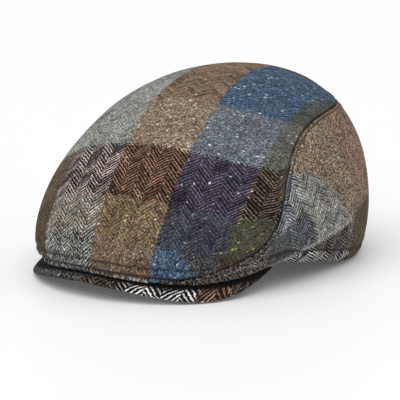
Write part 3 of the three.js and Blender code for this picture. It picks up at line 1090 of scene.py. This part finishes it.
def side_panel(side, material):
    """A side panel as a closed shell: side 1 is the wearer's left, and -1 mirrors it."""
    columns = 260
    rows = 84
    angles = column_angles(SIDE_TIP_ANGLE, 180, columns)
    angles[-1] = BACK_SEAM_ANGLE
    seam = seam_rise(angles)
    end = seam - half_gap_rise(angles, seam)
    shares = 0.5 - 0.5 * np.cos(np.linspace(0, np.pi, rows))
    rises = end * shares[:, None]
    smooth = free_point(angles, rises)
    seam_edge = distance_to(smooth, free_point(angles, seam))
    rim_edge = distance_to(smooth, free_point(angles, 0 * angles))
    back_edge = np.abs(smooth[..., 0])
    at_back = angles > BACK_SEAM_START
    edge = np.minimum(np.minimum(seam_edge, rim_edge), np.where(at_back, back_edge, np.inf))
    fall = edge_fall(edge, CLOTH / 2)
    behind = fade(angles, RIM_START)
    relief = undulation(smooth) * smooth_step(edge / EDGE_BLEND) - fall
    relief += swelling(seam_edge, SIDE_SEAM_SWELLS)
    relief -= 0.6 * bell(seam_edge - TOPSTITCH, 0.7)
    groove = rim_edge - RIM_GROOVE - RIM_GROOVE_RISE * fade(angles, RIM_RISE_START)
    relief += behind * swelling(groove, RIM_SWELLS)
    room = smooth_step((seam_edge - 4) / 4)
    for front_groove in FRONT_GROOVES:
        relief -= (1 - behind) * room * bell(rim_edge - front_groove, 0.9)
    relief -= 0.7 * np.where(at_back, bell(back_edge, 1.3), 0)
    outer = wall(angles, rises, -relief)
    outer[..., 2] -= (1 - behind) * sag(rim_edge)
    inner = wall(angles, rises, CLOTH - fall)
    for row in (0, -1):
        middle = wall(angles, rises[row], CLOTH / 2)
        outer[row] = middle
        inner[row] = middle
    # Painted shade: in the seam, beside the topstitching, in the grooves and in the back seam, where shadow
    # falls.
    painted_shade = np.maximum.reduce([
        0.75 * bell(seam_edge, 0.9),
        0.55 * bell(seam_edge - TOPSTITCH, 0.6),
        behind * 0.75 * bell(groove, 1.0),
        *[(1 - behind) * room * 0.6 * bell(rim_edge - front_groove, 0.8) for front_groove in FRONT_GROOVES],
        np.where(at_back, 0.7 * bell(back_edge, 0.9), 0),
    ])
    normals = outward(angles, rises)
    sewn = angles < 178.5
    lines = [trace(outer[::-1, sewn], normals[::-1, sewn], seam_edge[::-1, sewn], TOPSTITCH)]
    sewn = sewn & (angles > 72)
    lines.append(trace(outer[:, sewn], normals[:, sewn], groove[:, sewn], 0))
    stitch_lines.extend((line * [side, 1, 1], out * [side, 1, 1]) for line, out in lines)
    weave = side_weave(angles, shares)
    shade = painted_shade_layer(painted_shade)
    points = tube_rows(outer, inner)
    layers = {"cloth": tube_rows(weave, weave), "painted_shade": tube_rows(shade, 0 * shade)}
    if side < 0:
        points = points[:, ::-1] * [-1, 1, 1]
        layers = {name: layer[:, ::-1] for name, layer in layers.items()}
    name = "side_left_tweed" if side > 0 else "side_right_tweed"
    node = "side_panel_left" if side > 0 else "side_panel_right"
    faces = tube_faces(rows, columns + 1)
    mesh_object(name, points, faces, layers, material, node)


def peak_edge(angle):
    """The peak's front edge in plan, standing out square from the hem."""
    before_x, before_y = oval_plan(HEM, angle - 0.1)
    after_x, after_y = oval_plan(HEM, angle + 0.1)
    length = np.hypot(after_x - before_x, after_y - before_y)
    x, y = oval_plan(HEM, angle)
    reach = peak_reach(angle) / length
    return np.stack([x + (after_y - before_y) * reach, y - (after_x - before_x) * reach], -1)


def peak(material):
    """The peak: a bent board with a rounded edge, covered above and below."""
    columns = 261
    rows = 56
    tip_angle = PEAK_OVERHANG[-1][0]
    tip = peak_edge(np.array(float(tip_angle)))
    angles = np.linspace(-tip_angle, tip_angle, columns)
    x = np.linspace(0, 1, rows)
    shares = (0.1 * x + 0.9 * x**2.4)[:, None, None]
    across = np.sin(np.pi / 2 * angles / tip_angle)
    arch = np.sqrt(np.maximum(0, 1 - across**2))
    back = np.stack([(tip[0] - 3) * across, tip[1] + (PEAK["back_y"] - tip[1]) * arch], -1)
    front = peak_edge(angles)
    plan = front * (1 - shares) + back * shares
    edge = distance_to(plan, np.concatenate([front, back[::-1], front[:1]]))
    radius = PEAK["thickness"] / 2
    fall = edge_fall(edge, radius)
    height = peak_height(plan[..., 0], plan[..., 1])

    def face(drop):
        return np.concatenate([plan, (height - drop)[..., None]], -1)

    outer, inner = face(fall), face(PEAK["thickness"] - fall)
    middle = face(radius + 0 * height)
    for row in (0, -1):
        outer[row] = middle[row]
        inner[row] = middle[row]
    run = running_length(front)
    run = np.broadcast_to(run - run[-1] / 2, edge.shape)
    front_edge = distance_to(plan, front)
    bent = radius * np.arccos(np.clip((radius - front_edge) / radius, -1, 1))
    depth = np.where(front_edge < radius, bent, front_edge + (math.pi / 2 - 1) * radius)
    over_weave = np.stack([run, depth, 0 * run], -1)
    under_weave = np.stack([run, -depth, 0 * run], -1)
    # The crown's shadow is painted onto the peak's top as painted shade: it reaches further out on the
    # wearer's right. The part tucked under the crown is painted dark as well.
    hem = distance_to(plan, HEM_LINE[:, :2])
    inside = np.where(front_edge > peak_reach(angles) - 1, 1.0, 0)
    shadow_reach = 4.8 + 2.8 * smooth_step((-12 - angles) / 25)
    painted_shade = np.maximum(1 - smooth_step((hem - shadow_reach) / 2.6), 0.8 * inside)
    shade = painted_shade_layer(painted_shade)
    points = tube_rows(outer, inner)
    layers = {"cloth": tube_rows(over_weave, under_weave), "painted_shade": tube_rows(shade, 0 * shade)}
    faces = tube_faces(rows, columns)
    mesh_object("peak_tweed", points, faces, layers, material, "peak")


crown_cloths = [cloth for row in TOP_CHECK for cloth in row] + ["teal"]
top_panel(tweed("crown_tweed", top_chart, crown_cloths))
side_cloth = tweed("side_tweed", side_chart, SIDE_CLOTHS)
side_panel(1, side_cloth)
side_panel(-1, side_cloth)
peak(tweed("peak_tweed", peak_chart, PEAK_CLOTHS, PEAK_WEAVE_SCALE))
stitching(Material("thread").finish({"Base Color": linear(THREAD_COLOUR), "Roughness": 0.6}))


# ---- Stage, in metres ----

WHITE = (1, 1, 1, 1)
FLOOR_REACH = 6
FLOOR_COLOUR = (0.95, 0.95, 0.95, 1)
FLOOR_GLOW = 0.07
WORLD_STRENGTH = 0.62
SUN_ENERGY = 1.5
SUN_SPREAD = math.radians(70)
SUN_FROM = (0.15, -0.55, 1.0)
CAMERA_AZIMUTH = math.radians(38.09)  # to the wearer's left of straight ahead
CAMERA_ELEVATION = math.radians(10.83)
CAMERA_DISTANCE = 1.5
CAMERA_TARGET = (0, 0.0025, 0.07)
AIM_LEFT = 0.0053  # the camera looks past its target to the left and down
AIM_DOWN = 0.0249
LENS = 187.2
SENSOR_WIDTH = 36


def add_floor():
    """A pale ground that glows a little, so that it is nearly white."""
    mesh = bpy.data.meshes.new("floor")
    corners = [(-1, -1), (1, -1), (1, 1), (-1, 1)]
    mesh.from_pydata([(x * FLOOR_REACH, y * FLOOR_REACH, 0) for x, y in corners], [], [(0, 1, 2, 3)])
    look = {"Base Color": FLOOR_COLOUR, "Emission Color": WHITE, "Emission Strength": FLOOR_GLOW}
    mesh.materials.append(Material("floor").finish(look))
    add_object("floor", mesh)


def add_world():
    """Even white light. The backdrop itself is white: the camera sees the world at full strength."""
    world = bpy.data.worlds.new("studio")
    world.use_nodes = True
    nodes = world.node_tree.nodes
    links = world.node_tree.links
    light = nodes["Background"]
    light.inputs["Color"].default_value = WHITE
    light.inputs["Strength"].default_value = WORLD_STRENGTH
    backdrop = nodes.new("ShaderNodeBackground")
    backdrop.inputs["Color"].default_value = WHITE
    chooser = nodes.new("ShaderNodeMixShader")
    rays = nodes.new("ShaderNodeLightPath")
    links.new(rays.outputs["Is Camera Ray"], chooser.inputs[0])
    links.new(light.outputs[0], chooser.inputs[1])
    links.new(backdrop.outputs[0], chooser.inputs[2])
    links.new(chooser.outputs[0], nodes["World Output"].inputs[0])
    bpy.context.scene.world = world


def add_sun():
    """One wide, soft light from above and in front."""
    light = bpy.data.lights.new("soft_sun", "SUN")
    light.energy = SUN_ENERGY
    light.angle = SUN_SPREAD
    sun = add_object("soft_sun", light)
    sun.rotation_mode = "QUATERNION"
    sun.rotation_quaternion = Vector(SUN_FROM).to_track_quat("Z", "Y")


def add_camera():
    level = math.cos(CAMERA_ELEVATION)
    ahead, aside = math.cos(CAMERA_AZIMUTH), math.sin(CAMERA_AZIMUTH)
    back = Vector((aside * level, -ahead * level, math.sin(CAMERA_ELEVATION)))
    right = Vector((ahead, aside, 0))
    target = Vector(CAMERA_TARGET)
    aim = target - AIM_LEFT * right - AIM_DOWN * back.cross(right)
    data = bpy.data.cameras.new("camera")
    data.lens = LENS
    data.sensor_width = SENSOR_WIDTH
    camera = add_object("camera", data)
    camera.location = target + back * CAMERA_DISTANCE
    camera.rotation_mode = "QUATERNION"
    camera.rotation_quaternion = (camera.location - aim).to_track_quat("Z", "Y")
    bpy.context.scene.camera = camera


add_floor()
add_world()
add_sun()
add_camera()
bpy.context.scene.view_settings.view_transform = "Standard"
